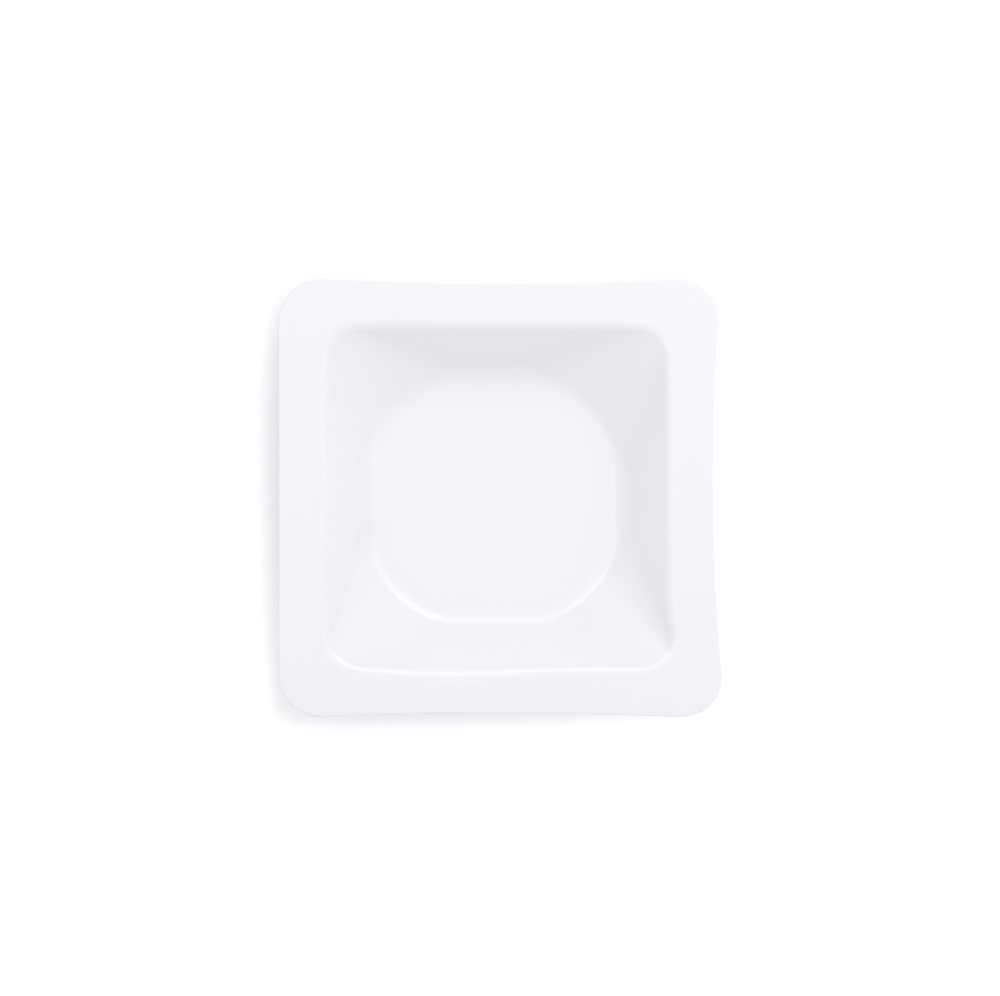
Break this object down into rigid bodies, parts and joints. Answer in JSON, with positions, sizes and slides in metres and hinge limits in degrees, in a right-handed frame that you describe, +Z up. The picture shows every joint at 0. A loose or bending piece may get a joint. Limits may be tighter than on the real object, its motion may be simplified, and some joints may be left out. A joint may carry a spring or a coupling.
{
  "type": "weighing boat",
  "caption": "Shallow square weighing boat with a flat rim, sloping walls and a flat rounded floor, formed from thin white plastic sheet.",
  "frame": {"origin": "middle of the underside of the flat floor, where the boat rests", "axes": "+Z up out of the open mouth, across the thin direction; +Y to the north side; +X to the east side, whose trimmed edge is drawn in the most"},
  "size_m": [0.0453, 0.0447, 0.008],
  "materials": {
    "boat": "smooth white polystyrene with a soft satin gloss"
  },
  "bodies": {
    "root": {"weighing_boat": "boat"}
  },
  "joints": []
}
